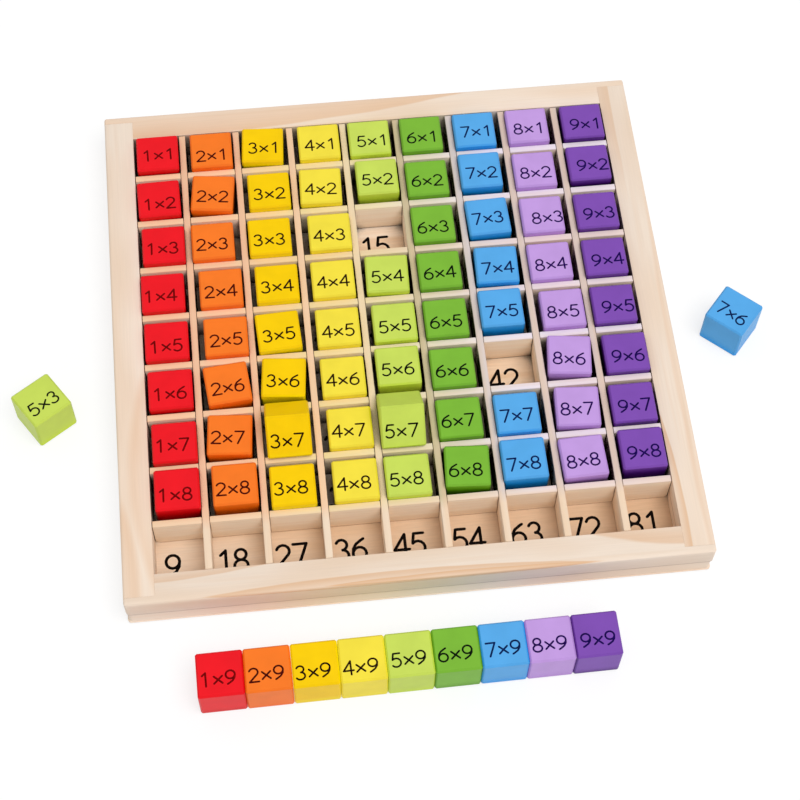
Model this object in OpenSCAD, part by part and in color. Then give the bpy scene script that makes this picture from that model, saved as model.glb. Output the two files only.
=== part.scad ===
// Multiplication bead board: a square wooden tray of nine by nine cells, with a painted cube for each cell.
// Millimetres. The tray stands on z = 0 with its middle at the origin. Columns run along x, from
// left to right, and rows along y, with row 1 at the back.

/* [Cubes] */
// Edge of a cube
cube_edge = 16; // [14:0.5:20]
// Width of the flat that eases each edge of a cube
cube_chamfer = 0.6; // [0.3:0.1:1.2]
// Gap that a resting cube keeps from the wall it leans on
rest_gap = 0.05; // [0.02:0.01:0.2]
// Pitch of the two cubes that are wedged between dividers, in degrees
wedge_angle = 46; // [38:1:52]

/* [Cells] */
// Free play of a cube in a cell between two dividers
cell_play = 2.5; // [2:0.1:3]
// Free play of a cube in a cell beside a rail
end_cell_play = 1.75; // [1.2:0.05:2.5]

/* [Dividers] */
// Thickness of a divider
divider_thickness = 2.5; // [2:0.1:4]
// Clearance on each side of a divider in the slot that crosses it
slot_clearance = 0.15; // [0.05:0.05:0.3]
// Clearance between the bottoms of two slots where dividers cross
slot_depth_clearance = 0.1; // [0:0.05:0.3]
// Clearance between a divider's end and the rail
end_clearance = 0.25; // [0.1:0.05:0.3]
// Radius of the lower corners of a divider
divider_corner = 2; // [1:0.5:4]

/* [Frame] */
// Height of the tray
tray_height = 16; // [14:0.5:20]
// Width of a rail
rail_width = 11; // [9:0.5:14]
// Thickness of the lip that a front or back rail laps over a side rail's end
lip_thickness = 3; // [2:0.5:5]
// Drop from the top of the rails to the top of the dividers
divider_drop = 0.2; // [0:0.1:0.6]
// Radius of the tray's upright outer corners
corner_radius = 1.6; // [1:0.2:3]
// Radius of the rails' upper outer edges
top_easing = 1; // [0.6:0.1:1.4]
// Radius of the rails' lower outer edges
bottom_easing = 0.8; // [0.4:0.1:1.2]
// Height of the lower band of the rails
band_height = 7; // [5:0.5:8]
// Set-back of the lower band from the upper one
band_inset = 0.4; // [0.2:0.1:0.8]
// Height of the scored line between the two bands
score_height = 0.6; // [0.4:0.1:1]
// Depth of the scored line behind the lower band
score_depth = 0.5; // [0.3:0.1:1]

/* [Base panel] */
// Thickness of the base panel
panel_thickness = 2.5; // [2:0.5:4]
// Width of the rebate under the rails that holds the panel
rebate_width = 4; // [2:0.5:6]
// Clearance between the panel's edge and the rebate
panel_clearance = 0.15; // [0.05:0.05:0.3]

/* [Cubes on the table] */
// Distance from the front of the tray to the back of the row of nine
row_distance = 19.4; // [15:0.2:30]
// Distance from the left side of the tray to the left side of the row of nine
row_inset = 23.4; // [18:0.2:30]
// Gap between two cubes of the row
row_gap = 0.1; // [0.05:0.05:0.3]
// Turn of the row, in degrees
row_turn = 0.6; // [0:0.1:2]
// Distance from the right side of the tray to the middle of the cube beside it
right_distance = 24.4; // [20:0.2:40]
// Place of that cube along the tray's side, from the middle
right_place = -7.2; // [-60:0.2:60]
// Turn of that cube, in degrees
right_turn = -41.6; // [-60:0.2:60]
// Distance from the left side of the tray to the middle of the cube beside it
left_distance = 26.7; // [20:0.1:40]
// Place of that cube along the tray's side, from the middle
left_place = -20; // [-60:1:60]
// Turn of that cube, in degrees
left_turn = 33.8; // [-60:0.2:60]

/* [Hidden] */
$fn = 48;
cells = 9;
dividers = cells - 1;
cell_clear = cube_edge + cell_play;
end_cell_clear = cube_edge + end_cell_play;
pitch = cell_clear + divider_thickness;
well_side = (cells - 2) * cell_clear + 2 * end_cell_clear + dividers * divider_thickness;
outer_side = well_side + 2 * rail_width;
divider_height = tray_height - panel_thickness - divider_drop;
divider_length = well_side - 2 * end_clearance;
slot_width = divider_thickness + 2 * slot_clearance;
slot_depth = divider_height / 2 + slot_depth_clearance / 2;
panel_pocket = well_side + 2 * rebate_width;
// Extra length that carries a cut past the surface it opens
past = 1;

// Colours of the nine columns, from left to right
column_colours = [
    "#F0272F", "#FF7F2E", "#FFD20F", "#FBE64E", "#CDE25F", "#7FBC3A", "#5AAEEE", "#C79FE5", "#8250B5"
];
pine = "#F0DFCC";
slat_wood = "#F3E3CF";
plywood = "#E5C5A0";

// Cells that hold no cube: those of the two cubes beside the tray, as [column, row]
left_cube = [5, 3];
right_cube = [7, 6];
// Cubes that are wedged on top of their cell
wedged = [[3, 7], [5, 7]];
// How each cube leans across its cell: -1 is against the left wall, 1 against the right one
side_lean = [
    [0.5, 0.5, -0.5, 0.5, -0.5, -1, -1, -1, 0],
    [0, 0, 0.5, -0.5, 0.5, -1, -1, -1, -0.5],
    [1, -1, -0.5, 1, 0, -1, -1, -1, -1],
    [-0.5, 0.5, 0.5, 0.5, 0, -1, -0.5, -1, -1],
    [0, 1, -0.5, 0.5, 0.5, -1, -1, 0.5, -1],
    [0.5, 1, 0, 0.5, 0, -1, 0, 0.5, 0.5],
    [1, 0, 0, 1, -1, -1, -1, 0, -0.5],
    [1, 0.5, 0, 1, -1, -1, -1, -1, 0]
];
// Cubes that stand otherwise than square and forward: [column, row, set-back from -1 to 1,
// turn as a share of what the cell allows]
moved = [
    [1, 1, -0.5, 0], [1, 2, -1, 0.2], [1, 6, -0.5, 0], [1, 8, 1, 0],
    [2, 2, -1, -0.7], [2, 6, 0, 0.6], [2, 7, 0, -0.5], [2, 8, 1, 0],
    [3, 1, -1, -0.6], [3, 5, -1, 0.3], [3, 6, 1, -0.6], [4, 2, -1, -0.2],
    [5, 2, 1, 0], [5, 4, -1, -0.2], [5, 6, 1, 0], [6, 8, 0.5, -0.4],
    [7, 2, 0.5, 0], [7, 3, 0, 0.2], [7, 4, -1, -0.2], [7, 5, 1, 0], [7, 8, 1, 0],
    [8, 6, -0.5, -0.7], [8, 7, -1, -0.4], [8, 8, 0, 0.2], [9, 2, 0, 0], [9, 8, 1, 0]
];

// The grid's lines: the middle of divider i, counted from the low side, and the walls of cell i
function divider_at(i) = (i - cells / 2) * pitch;
function cell_low(i) = i == 1 ? -well_side / 2 : divider_at(i - 1) + divider_thickness / 2;
function cell_high(i) = i == cells ? well_side / 2 : divider_at(i) - divider_thickness / 2;
function cell_middle(i) = (cell_low(i) + cell_high(i)) / 2;
function cell_width(i) = cell_high(i) - cell_low(i);
// Rows count from the back, where y is high
function row_cell(row) = cells + 1 - row;

// Where a cube stands in its cell
function moved_entry(column, row) =
    [for (entry = moved) if (entry[0] == column && entry[1] == row) entry];
function set_back(column, row) =
    let (entry = moved_entry(column, row)) len(entry) > 0 ? entry[0][2] : -1;
function turn_share(column, row) =
    let (entry = moved_entry(column, row)) len(entry) > 0 ? entry[0][3] : 0;
// The turn at which a cube's corners reach both walls of the narrower direction is a little more
function turn_limit(column, row) =
    asin((min(cell_width(column), cell_width(row_cell(row))) - cube_edge) / cube_edge);
function cube_turn(column, row) = turn_share(column, row) * turn_limit(column, row);
function turned_width(turn) = cube_edge * (cos(abs(turn)) + sin(abs(turn)));
function travel(width, turn) = (width - turned_width(turn)) / 2 - rest_gap;
function is_wedged(column, row) = len([for (cell = wedged) if (cell == [column, row]) cell]) > 0;
function stands(column, row) =
    [column, row] != left_cube && [column, row] != right_cube && !is_wedged(column, row);

// A square with quarter-round corners
module rounded_square(side, radius) {
    square([side - 2 * radius, side], center = true);
    square([side, side - 2 * radius], center = true);
    for (x = [-1, 1], y = [-1, 1])
        translate([x * (side / 2 - radius), y * (side / 2 - radius)])
            circle(r = radius);
}

// Section across the whole tray, with its upper and lower outer edges rounded
module tray_section() {
    half = outer_side / 2;
    translate([-half, bottom_easing])
        square([outer_side, tray_height - bottom_easing - top_easing]);
    translate([-half + bottom_easing, 0])
        square([outer_side - 2 * bottom_easing, tray_height / 2]);
    translate([-half + top_easing, tray_height / 2])
        square([outer_side - 2 * top_easing, tray_height / 2]);
    for (x = [-1, 1]) {
        translate([x * (half - bottom_easing), bottom_easing])
            circle(r = bottom_easing);
        translate([x * (half - top_easing), tray_height - top_easing])
            circle(r = top_easing);
    }
}

// What is cut off the outside all round between two heights, down to the given depth
module outer_cut(low, high, depth) {
    translate([0, 0, low])
        linear_extrude(high - low)
            difference() {
                square(outer_side + 2 * past, center = true);
                rounded_square(outer_side - 2 * depth, corner_radius);
            }
}

// The outer form of the frame, before the well and the joints are cut
module tray_form() {
    difference() {
        intersection() {
            linear_extrude(tray_height)
                rounded_square(outer_side, corner_radius);
            rotate([90, 0, 0])
                linear_extrude(outer_side, center = true)
                    tray_section();
            rotate([90, 0, 90])
                linear_extrude(outer_side, center = true)
                    tray_section();
        }
        outer_cut(bottom_easing, band_height, band_inset);
        outer_cut(band_height, band_height + score_height, band_inset + score_depth);
    }
}

// A block from one plan corner to the other, over the full height
module plan_block(low, high) {
    translate([low[0], low[1], -past])
        cube([high[0] - low[0], high[1] - low[1], tray_height + 2 * past]);
}

// The frame with its well and the rebate for the panel
module frame_stock() {
    difference() {
        tray_form();
        translate([-well_side / 2, -well_side / 2, -past])
            cube([well_side, well_side, tray_height + 2 * past]);
        translate([-panel_pocket / 2, -panel_pocket / 2, -past])
            cube([panel_pocket, panel_pocket, panel_thickness + past]);
    }
}

// A front or back rail: a full-width lip, and behind it the part between the side rails
module lapped_rail() {
    half = outer_side / 2;
    well = well_side / 2;
    intersection() {
        frame_stock();
        union() {
            plan_block([-half - past, -half - past], [half + past, -half + lip_thickness]);
            plan_block([-well, -half - past], [well, -well]);
        }
    }
}

// A side rail, butted against the lips of the front and back rails
module butted_rail() {
    half = outer_side / 2;
    intersection() {
        frame_stock();
        plan_block([-half - past, -half + lip_thickness], [-well_side / 2, half - lip_thickness]);
    }
}

module rail_front() {
    color(pine) lapped_rail();
}

module rail_back() {
    color(pine) rotate(180) lapped_rail();
}

module rail_left() {
    color(pine) butted_rail();
}

module rail_right() {
    color(pine) rotate(180) butted_rail();
}

module base_panel() {
    side = panel_pocket - 2 * panel_clearance;
    color(plywood)
        translate([-side / 2, -side / 2, 0])
            cube([side, side, panel_thickness]);
}

// Outline of a divider, standing on y = 0, with its two lower corners rounded
module divider_outline() {
    length = divider_length;
    translate([-length / 2, divider_corner])
        square([length, divider_height - divider_corner]);
    translate([-length / 2 + divider_corner, 0])
        square([length - 2 * divider_corner, divider_corner + slot_depth_clearance]);
    for (x = [-1, 1])
        translate([x * (length / 2 - divider_corner), divider_corner])
            circle(r = divider_corner);
}

// A divider along x, with a slot for each divider that crosses it, open upwards or downwards
module slotted_divider(open_up) {
    low = open_up ? divider_height - slot_depth : -past;
    rotate([90, 0, 0])
        linear_extrude(divider_thickness, center = true)
            difference() {
                divider_outline();
                for (i = [1:dividers])
                    translate([divider_at(i) - slot_width / 2, low])
                        square([slot_width, slot_depth + past]);
            }
}

// Dividers between columns run front to back and are unbroken on top
module column_divider(i) {
    color(slat_wood)
        translate([divider_at(i), 0, panel_thickness])
            rotate(90)
                slotted_divider(false);
}

// Dividers between rows run from side to side and let the others through from above
module row_divider(i) {
    color(slat_wood)
        translate([0, divider_at(cells - i), panel_thickness])
            slotted_divider(true);
}

// A square with its corners cut off
module eased_square() {
    half = cube_edge / 2;
    near = half - cube_chamfer;
    polygon([
        [half, near], [near, half], [-near, half], [-half, near],
        [-half, -near], [-near, -half], [near, -half], [half, -near]
    ]);
}

// A cube with eased edges, standing on z = 0
module eased_cube() {
    translate([0, 0, cube_edge / 2])
        intersection() {
            linear_extrude(cube_edge, center = true)
                eased_square();
            rotate([90, 0, 0])
                linear_extrude(cube_edge, center = true)
                    eased_square();
            rotate([0, 90, 0])
                linear_extrude(cube_edge, center = true)
                    eased_square();
        }
}

// A cube that stands on the panel in its cell
module standing_cube(column, row) {
    turn = cube_turn(column, row);
    cell = row_cell(row);
    x = cell_middle(column) + side_lean[row - 1][column - 1] * travel(cell_width(column), turn);
    y = cell_middle(cell) + set_back(column, row) * travel(cell_width(cell), turn);
    translate([x, y, panel_thickness])
        rotate(turn)
            eased_cube();
}

// A cube that is pitched forward and hangs by two faces on the edges of the dividers round its cell
module wedged_cube(column, row) {
    width = cell_width(row_cell(row));
    x = cell_middle(column) + side_lean[row - 1][column - 1] * travel(cell_width(column), 0);
    y = cell_low(row_cell(row)) + width * pow(sin(wedge_angle), 2);
    z = panel_thickness + divider_height - width * sin(wedge_angle) * cos(wedge_angle) + rest_gap;
    translate([x, y, z])
        rotate([wedge_angle, 0, 0])
            translate([0, cube_edge / 2, 0])
                eased_cube();
}

// All cubes of one column that are in the tray
module tray_cubes(column) {
    color(column_colours[column - 1]) {
        for (row = [1:cells - 1])
            if (stands(column, row))
                standing_cube(column, row);
        for (cell = wedged)
            if (cell[0] == column)
                wedged_cube(cell[0], cell[1]);
    }
}

// Cube i of the row of nine that stands in front of the tray
module row_cube(i) {
    color(column_colours[i - 1])
        translate([row_inset - outer_side / 2, -outer_side / 2 - row_distance, 0])
            rotate(row_turn)
                translate([(i - 1) * (cube_edge + row_gap) + cube_edge / 2, -cube_edge / 2, 0])
                    eased_cube();
}

module left_cube_5x3() {
    color(column_colours[left_cube[0] - 1])
        translate([-outer_side / 2 - left_distance, left_place, 0])
            rotate(left_turn)
                eased_cube();
}

module right_cube_7x6() {
    color(column_colours[right_cube[0] - 1])
        translate([outer_side / 2 + right_distance, right_place, 0])
            rotate(right_turn)
                eased_cube();
}

base_panel();
rail_front();
rail_back();
rail_left();
rail_right();
for (i = [1:dividers])
    column_divider(i);
for (i = [1:dividers])
    row_divider(i);
for (i = [1:cells])
    tray_cubes(i);
for (i = [1:cells])
    row_cube(i);
left_cube_5x3();
right_cube_7x6();
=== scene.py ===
"""Multiplication board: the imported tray, dividers and cubes, dressed as pine, slat wood, paint and print."""

import logging
import math
from dataclasses import dataclass, field
from enum import Enum

import bpy
from bpy.types import Curve, Material, Mesh, Node, NodeSocket, Object, World
from mathutils import Matrix, Vector


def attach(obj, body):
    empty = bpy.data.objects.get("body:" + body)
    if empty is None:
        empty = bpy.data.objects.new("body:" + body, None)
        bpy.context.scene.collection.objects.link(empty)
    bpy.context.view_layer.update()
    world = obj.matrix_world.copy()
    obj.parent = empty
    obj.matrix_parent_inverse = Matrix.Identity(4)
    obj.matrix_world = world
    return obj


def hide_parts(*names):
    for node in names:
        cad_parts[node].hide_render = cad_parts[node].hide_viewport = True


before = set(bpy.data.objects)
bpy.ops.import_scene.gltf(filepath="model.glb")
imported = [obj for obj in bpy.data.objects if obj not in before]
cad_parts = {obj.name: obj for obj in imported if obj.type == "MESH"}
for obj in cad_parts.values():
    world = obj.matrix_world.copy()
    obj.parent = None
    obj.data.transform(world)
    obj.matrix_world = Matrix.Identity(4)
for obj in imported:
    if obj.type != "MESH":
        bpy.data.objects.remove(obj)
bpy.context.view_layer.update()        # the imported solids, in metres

LOG = logging.getLogger("multiplication_board")
MM = 0.001
CELLS = 9
MIDDLE_CELL = 5

# The board's own sizes, in mm. The row divider behind the open front row of cells stands at FRONT_ROW_END, from the
# middle of the board.
PITCH = 21.0
TRAY_TOP = 16.0
PANEL_TOP = 2.5
CUBE_EDGE = 16.0
FRONT_ROW_END = -3.5 * PITCH

# Within this distance a wall shuts a point's view: two and a half times the room that a cube has in its cell.
GAP_REACH = 5 * MM
# Rays that find it.
GAP_RAYS = 6

Colour = tuple[float, float, float, float]


def linear(hex_colour: str) -> Colour:
    """Turn an sRGB hex colour into a linear one.

    Args:
        hex_colour: The colour as "#RRGGBB".

    Returns:
        Linear red, green, blue and an alpha of 1.
    """
    channels = (int(hex_colour[i:i + 2], 16) / 255 for i in (1, 3, 5))
    red, green, blue = (c / 12.92 if c <= 0.04045 else ((c + 0.055) / 1.055) ** 2.4 for c in channels)
    return red, green, blue, 1.0


def deepened(colour: Colour, power: float, level: float) -> Colour:
    """Make a linear colour deeper and purer, as light does that has met it more than once.

    Args:
        colour: The linear colour.
        power: How often the light has met it, 1 for once.
        level: What the result is scaled by.

    Returns:
        The deeper linear colour.
    """
    red, green, blue = (level * c ** power for c in colour[:3])
    return red, green, blue, 1.0


class Nodes:
    """The node tree of a material or of the room, emptied."""

    def __init__(self, owner: Material | World) -> None:
        """Empty the tree.

        Args:
            owner: The material or world that it belongs to.
        """
        owner.use_nodes = True
        self.tree = owner.node_tree
        self.tree.nodes.clear()

    def add(self, kind: str, sockets: dict[str | int, object] | None = None, **settings: object) -> Node:
        """Add a node with its settings and links.

        Args:
            kind: The node's type after "ShaderNode", such as "Math".
            sockets: Name or number of a socket to its value, or to the output that is linked to it, or to a node
                whose first output is.
            **settings: Properties of the node, such as operation.

        Returns:
            The new node.
        """
        node = self.tree.nodes.new(f"ShaderNode{kind}")
        for name, value in settings.items():
            setattr(node, name, value)
        for key, value in (sockets or {}).items():
            socket = [s for i, s in enumerate(node.inputs) if s.enabled and key in (i, s.name)][0]
            if isinstance(value, Node):
                value = [output for output in value.outputs if output.enabled][0]
            if isinstance(value, NodeSocket):
                self.tree.links.new(value, socket)
            else:
                socket.default_value = value
        return node


class Surface(Nodes):
    """The nodes of a material that follows the place of each point."""

    def __init__(self, owner: Material) -> None:
        """Start with the object coordinates, whole and one output for each axis.

        Args:
            owner: The material.
        """
        super().__init__(owner)
        self.place = self.add("TexCoord").outputs["Object"]
        self.axes = self.add("SeparateXYZ", {0: self.place}).outputs


@dataclass(frozen=True)
class Finish:
    """What a part of the board is made of.

    Args:
        name: Name of the material.
    """

    name: str

    def material(self) -> Material:
        """Make the material.

        Returns:
            The material.
        """
        made = bpy.data.materials.new(self.name)
        on = Surface(made)
        shader = on.add("BsdfPrincipled", {"IOR": 1.5, **self.look(on)})
        on.add("OutputMaterial", {"Surface": shader})
        return made

    def look(self, on: Surface) -> dict[str, object]:
        """Give the shader's sockets by name, with a value or a node for each."""
        raise NotImplementedError


class Grain(Enum):
    """The axis that the fibres of a piece of wood follow."""

    X = "X"
    Y = "Y"

    def stretched(self, along: float, across: float) -> tuple[float, float, float]:
        """Scale a pattern, in 1/m, so that its marks are this long along the fibres and this wide, in mm."""
        long, wide = 1 / (along * MM), 1 / (across * MM)
        return (long, wide, wide) if self is Grain.X else (wide, long, wide)


@dataclass(frozen=True)
class Marks:
    """Marks that lie at random in a surface, such as fibres, streaks or clouds.

    Args:
        along: Their length, in mm.
        across: Their width, in mm.
        detail: How many finer layers lie in them.
    """

    along: float
    across: float
    detail: float

    def laid(self, on: Surface, grain: Grain = Grain.X) -> Node:
        """Lay the marks along an axis and give their strength at each point, 0 to 1 and about 0.5 in the mean."""
        scaled = on.add("Mapping", {"Vector": on.place, "Scale": grain.stretched(self.along, self.across)})
        return on.add("TexNoise", {"Vector": scaled, "Scale": 1.0, "Detail": self.detail, "Roughness": 0.55})


@dataclass(frozen=True)
class GapShade:
    """Painted shade: how a colour changes in a gap a few millimetres wide, where light is spent on the walls.

    Args:
        tone: The linear colour that it turns to.
        share: Share of the tone in the depth of the gap, from 0 to 1.
        full: Open share of a point's view at which the tone is at its fullest.
        clear: Open share at which it begins.
        limits: Where on the board it ends: an axis, then where on it the tone is gone and where it is whole, in mm.
    """

    tone: Colour
    share: float
    full: float
    clear: float
    limits: tuple[tuple[str, float, float], ...] = ()

    def over(self, on: Surface, colour: Node, view: NodeSocket) -> Node:
        """Lay the shade over a colour.

        Args:
            on: The surface.
            colour: The clean colour.
            view: Open share of the view from each point.

        Returns:
            The shaded colour.
        """
        depth = on.add("MapRange", {"Value": view, "From Min": self.clear, "From Max": self.full, "To Max": self.share})
        for axis, gone, whole in self.limits:
            within = on.add("MapRange", {"Value": on.axes[axis], "From Min": gone * MM, "From Max": whole * MM})
            depth = on.add("Math", {0: depth, 1: within}, operation="MULTIPLY")
        return on.add("Mix", {"Factor": depth, "A": colour, "B": self.tone}, data_type="RGBA")


# The open front row of cells holds no cubes, so it has no gaps.
NOT_IN_FRONT_ROW = ("Y", FRONT_ROW_END - 0.5, FRONT_ROW_END + 0.5)
# Painted shade: the near black that the narrow gaps beside the cubes are painted with.
GAP_SHADE_TONE = linear("#180602")


@dataclass(frozen=True)
class Flame:
    """A flame of darker wood on a rail's top, where the saw cut along a growth ring.

    Args:
        peak: Where along the rail it is widest, in mm from the rail's middle.
        reach: Half its length, in mm.
        width: How far it reaches from its side at the peak, in mm. It may be more than the rail's width.
        from_outside: True if it starts at the rail's outer edge, False if at the inner one.
        strength: Share of the dark tone at its edge.
        fade: Distance over which the dark tone fades behind its edge, in mm.
        edge: Width of the edge itself, in mm.
        blunt: True if it keeps its width and fades along its length, False if it comes to a point.
        lasting: Share of its strength that is left behind the fade.
    """

    peak: float
    reach: float
    width: float
    from_outside: bool
    strength: float
    fade: float
    edge: float = 0.5
    blunt: bool = False
    lasting: float = 0.35

    def burnt_in(self, on: Surface, along: Node, across: Node, waver: Node) -> Node:
        """Draw the flame.

        Args:
            on: The rail's surface.
            along: Distance along the rail from its middle, in mm.
            across: Distance from the side that the flame starts at, in mm.
            waver: How far its edge wavers outwards, in mm.

        Returns:
            The share of the dark tone at a point.
        """
        off_peak = on.add("Math", {0: along, 1: 1 / self.reach, 2: -self.peak / self.reach}, operation="MULTIPLY_ADD")
        bowed = on.add("Math", {0: off_peak, 1: off_peak}, operation="MULTIPLY")
        narrowing = 0.0 if self.blunt else self.width
        border = on.add("Math", {0: bowed, 1: -narrowing, 2: self.width}, operation="MULTIPLY_ADD")
        border = on.add("Math", {0: border, 1: waver}, operation="ADD")
        inside = on.add("Math", {0: border, 1: across}, operation="SUBTRACT")
        crisp = on.add("MapRange", {"Value": inside, "From Max": self.edge}, interpolation_type="SMOOTHSTEP")
        faded = on.add("MapRange", {
            "Value": inside, "From Max": self.fade, "To Min": self.strength, "To Max": self.lasting * self.strength,
        }, interpolation_type="SMOOTHSTEP")
        share = on.add("Math", {0: crisp, 1: faded}, operation="MULTIPLY")
        if self.blunt:
            tail = on.add("MapRange", {"Value": bowed, "To Min": 1.0, "To Max": 0.0})
            share = on.add("Math", {0: share, 1: tail}, operation="MULTIPLY")
        return share


@dataclass(frozen=True)
class PlanedPine(Finish):
    """Pine rails, planed, sanded and left bare.

    Args:
        grain: The axis that the rail runs along.
        outward: 1 if the rail's outer side faces the positive end of the other axis, -1 if not.
        flames: The flames on its top.
        rail_width: Width of a rail, in mm.
        half_side: Half the tray's side, in mm.
        waver: How far a flame's edge wavers, in mm.
        draw_back: How far a flame draws back for each mm down the rail's sides, in mm.
        score: Height of the scored line over the table, in mm.
        score_reach: Distances from it at which the painted line of shade is gone and at which it is whole, in mm.
        pale: Colour of the clear wood.
        tan: Colour of the streaks and bands.
        late_wood: Colour of the flames.
        score_line_shade: Colour of the painted shade in the scored line.
        fibre: The fine straight fibre.
        streaks: Its darker streaks.
        bands: Its soft changes of tone.
        wavering: The bends in a flame's edge.
        painted_gap_shade: The painted shade between a rail and the cubes.
    """

    grain: Grain
    outward: int
    flames: tuple[Flame, ...]
    rail_width: float = 11.0
    half_side: float = 103.5
    waver: float = 1.4
    draw_back: float = 3.0
    score: float = 7.6
    score_reach: tuple[float, float] = (0.45, 0.18)
    pale: str = "#F6E4D2"
    tan: str = "#EBCBAC"
    late_wood: str = "#E5B68A"
    score_line_shade: str = "#8A6448"
    fibre: Marks = Marks(22, 0.55, 3)
    streaks: Marks = Marks(120, 2.6, 2)
    bands: Marks = Marks(70, 14, 1)
    wavering: Marks = Marks(34, 5, 2)
    painted_gap_shade: GapShade = GapShade(GAP_SHADE_TONE, share=0.85, full=0.08, clear=0.42)

    def look(self, on: Surface) -> dict[str, object]:
        """Work out the shader's sockets.

        Args:
            on: The rail's surface.

        Returns:
            Each socket's value or node.
        """
        # Planed pine is matt and pale. The eye sees a fine straight fibre, soft changes of tone along it, flames of
        # orange-brown late wood with a crisp edge, a painted line of shade in the scored line round the side, and
        # painted shade in the gaps beside the cubes.
        fibre = self.fibre.laid(on, self.grain)
        streak = on.add("MapRange", {
            "Value": self.streaks.laid(on, self.grain), "From Min": 0.5, "From Max": 0.72, "To Max": 0.3,
        })
        band = on.add("MapRange", {
            "Value": self.bands.laid(on, self.grain), "From Min": 0.42, "From Max": 0.66, "To Max": 0.5,
        })
        darker = on.add("Math", {0: streak, 1: band}, operation="MAXIMUM")
        wood = linear(self.pale)
        for share, tone in ((darker, self.tan), (self._late_wood_share(on), self.late_wood)):
            wood = on.add("Mix", {"Factor": share, "A": wood, "B": linear(tone)}, data_type="RGBA")
        fine = on.add("MapRange", {"Value": fibre, "From Min": 0.3, "From Max": 0.7, "To Min": 0.97, "To Max": 1.015})
        fibrous = on.add("VectorMath", {0: wood, "Scale": fine}, operation="SCALE")
        shade_line_share = self._score_line_shade_share(on)
        scored = on.add("Mix", {"Factor": shade_line_share, "A": fibrous, "B": linear(self.score_line_shade)}, data_type="RGBA")
        view = on.add("AmbientOcclusion", {"Distance": GAP_REACH}, samples=GAP_RAYS).outputs["AO"]
        relief = on.add("Bump", {"Height": fibre, "Strength": 0.25, "Distance": 0.08 * MM})
        return {"Base Color": self.painted_gap_shade.over(on, scored, view), "Roughness": 0.62, "Specular IOR Level": 0.3,
                "Normal": relief}

    def _score_line_shade_share(self, on: Surface) -> Node:
        """Paint a line of shade along the lower arris of the upper band, where the rail is scored.

        Args:
            on: The rail's surface.

        Returns:
            The share of the painted shade at a point.
        """
        away = on.add("Math", {0: on.axes["Z"], 1: -self.score * MM}, operation="ADD")
        away = on.add("Math", {0: away}, operation="ABSOLUTE")
        gone, whole = self.score_reach
        return on.add("MapRange", {"Value": away, "From Min": gone * MM, "From Max": whole * MM, "To Max": 0.6})

    def _late_wood_share(self, on: Surface) -> Node:
        """Draw all the flames, which draw back as they run down the rail's sides.

        Args:
            on: The rail's surface.

        Returns:
            The share of late wood at a point.
        """
        run, side = ("X", "Y") if self.grain is Grain.X else ("Y", "X")
        along = on.add("Math", {0: on.axes[run], 1: 1 / MM}, operation="MULTIPLY")
        outer = on.add("Math", {0: on.axes[side], 1: -self.outward / MM, 2: self.half_side}, operation="MULTIPLY_ADD")
        inner = on.add("Math", {0: outer, 1: -1.0, 2: self.rail_width}, operation="MULTIPLY_ADD")
        depth = on.add("Math", {0: on.axes["Z"], 1: -1 / MM, 2: TRAY_TOP}, operation="MULTIPLY_ADD")
        noise = self.wavering.laid(on, self.grain)
        waver = on.add("Math", {0: noise, 1: self.waver, 2: -self.waver / 2}, operation="MULTIPLY_ADD")
        waver = on.add("Math", {0: depth, 1: -self.draw_back, 2: waver}, operation="MULTIPLY_ADD")
        total: Node | float = 0.0
        for flame in self.flames:
            share = flame.burnt_in(on, along, outer if flame.from_outside else inner, waver)
            total = on.add("Math", {0: total, 1: share}, operation="MAXIMUM")
        return total


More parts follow.
